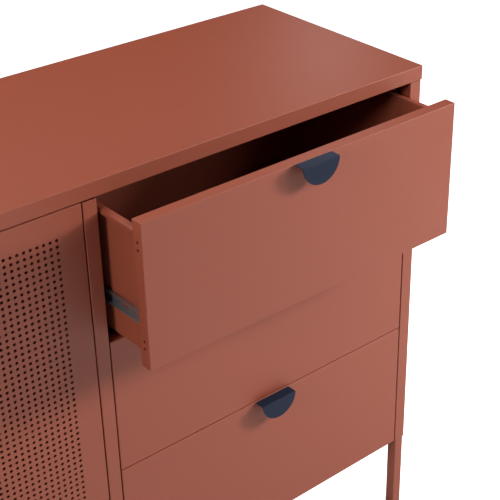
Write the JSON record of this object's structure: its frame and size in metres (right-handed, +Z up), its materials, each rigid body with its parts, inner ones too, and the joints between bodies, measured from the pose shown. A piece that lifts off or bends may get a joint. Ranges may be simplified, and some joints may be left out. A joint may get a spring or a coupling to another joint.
{
  "type": "metal sideboard",
  "caption": "Powder-coated metal sideboard on square legs, with perforated hinged doors beside a stack of drawers on ball-bearing slides, all with half-moon handles.",
  "frame": {"origin": "centre of the floor rectangle under the whole object as stored, with the top drawer partly open", "axes": "+Z up, +X to the right as seen from the front, the doors and drawer fronts face -Y"},
  "size_m": [1.2, 0.5174, 0.9],
  "materials": {
    "powder_coat": "satin powder coat",
    "handle_coat": "satin powder coat",
    "zinc_steel": "zinc plated",
    "black_plastic": "moulded"
  },
  "bodies": {
    "cabinet": {"top_panel": "powder_coat", "side_panel_left": "powder_coat", "side_panel_right": "powder_coat", "divider_panel": "powder_coat", "bottom_panel": "powder_coat", "back_panel": "powder_coat", "shelf": "powder_coat", "shelf_rail_left": "powder_coat", "shelf_rail_right": "powder_coat", "pivot_plate_left": "powder_coat", "pivot_plate_right": "powder_coat", "leg_front_left": "powder_coat", "leg_front_right": "powder_coat", "leg_back_left": "powder_coat", "leg_back_right": "powder_coat", "slide_upright_front_left": "powder_coat", "slide_upright_front_right": "powder_coat", "slide_upright_back_left": "powder_coat", "slide_upright_back_right": "powder_coat", "door_catch": "black_plastic", "glide_front_left": "black_plastic", "glide_front_right": "black_plastic", "glide_back_left": "black_plastic", "glide_back_right": "black_plastic", "slide_outer_bottom_left": "zinc_steel", "slide_outer_bottom_right": "zinc_steel", "slide_outer_middle_left": "zinc_steel", "slide_outer_middle_right": "zinc_steel", "slide_outer_top_left": "zinc_steel", "slide_outer_top_right": "zinc_steel"},
    "door_left": {"door_panel_left": "powder_coat", "door_pivot_upper_left": "zinc_steel", "door_pivot_lower_left": "zinc_steel", "door_handle_left": "handle_coat"},
    "door_right": {"door_panel_right": "powder_coat", "door_pivot_upper_right": "zinc_steel", "door_pivot_lower_right": "zinc_steel", "door_handle_right": "handle_coat"},
    "drawer_bottom": {"drawer_front_bottom": "powder_coat", "drawer_tray_bottom": "powder_coat", "drawer_handle_bottom": "handle_coat", "slide_inner_bottom_left": "zinc_steel", "slide_inner_bottom_right": "zinc_steel"},
    "slide_cage_bottom": {"slide_cage_bottom_left": "zinc_steel", "slide_cage_bottom_right": "zinc_steel"},
    "drawer_middle": {"drawer_front_middle": "powder_coat", "drawer_tray_middle": "powder_coat", "drawer_handle_middle": "handle_coat", "slide_inner_middle_left": "zinc_steel", "slide_inner_middle_right": "zinc_steel"},
    "slide_cage_middle": {"slide_cage_middle_left": "zinc_steel", "slide_cage_middle_right": "zinc_steel"},
    "drawer_top": {"drawer_front_top": "powder_coat", "drawer_tray_top": "powder_coat", "drawer_handle_top": "handle_coat", "slide_inner_top_left": "zinc_steel", "slide_inner_top_right": "zinc_steel"},
    "slide_cage_top": {"slide_cage_top_left": "zinc_steel", "slide_cage_top_right": "zinc_steel"}
  },
  "joints": [
    {"name": "door_left_hinge", "type": "hinge", "parent": "cabinet", "child": "door_left", "pos_m": [-0.5537, -0.13425, 0.158], "axis": [0, 0, -1], "range_deg": [0, 90]},
    {"name": "door_right_hinge", "type": "hinge", "parent": "cabinet", "child": "door_right", "pos_m": [-0.0642, -0.13425, 0.158], "axis": [0, 0, 1], "range_deg": [0, 90]},
    {"name": "drawer_bottom_slide", "type": "slide", "parent": "cabinet", "child": "drawer_bottom", "axis": [0, -1, 0], "range_m": [0, 0.24]},
    {"name": "slide_cage_bottom_travel", "type": "slide", "parent": "cabinet", "child": "slide_cage_bottom", "axis": [0, -1, 0], "range_m": [0, 0.12]},
    {"name": "drawer_middle_slide", "type": "slide", "parent": "cabinet", "child": "drawer_middle", "axis": [0, -1, 0], "range_m": [0, 0.24]},
    {"name": "slide_cage_middle_travel", "type": "slide", "parent": "cabinet", "child": "slide_cage_middle", "axis": [0, -1, 0], "range_m": [0, 0.12]},
    {"name": "drawer_top_slide", "type": "slide", "parent": "cabinet", "child": "drawer_top", "axis": [0, -1, 0], "range_m": [-0.0977, 0.1423]},
    {"name": "slide_cage_top_travel", "type": "slide", "parent": "cabinet", "child": "slide_cage_top", "axis": [0, -1, 0], "range_m": [-0.04885, 0.07115]}
  ],
  "couplings": [
    {"joint": "slide_cage_bottom_travel", "follows": "drawer_bottom_slide", "ratio": 0.5},
    {"joint": "slide_cage_middle_travel", "follows": "drawer_middle_slide", "ratio": 0.5},
    {"joint": "slide_cage_top_travel", "follows": "drawer_top_slide", "ratio": 0.5}
  ]
}
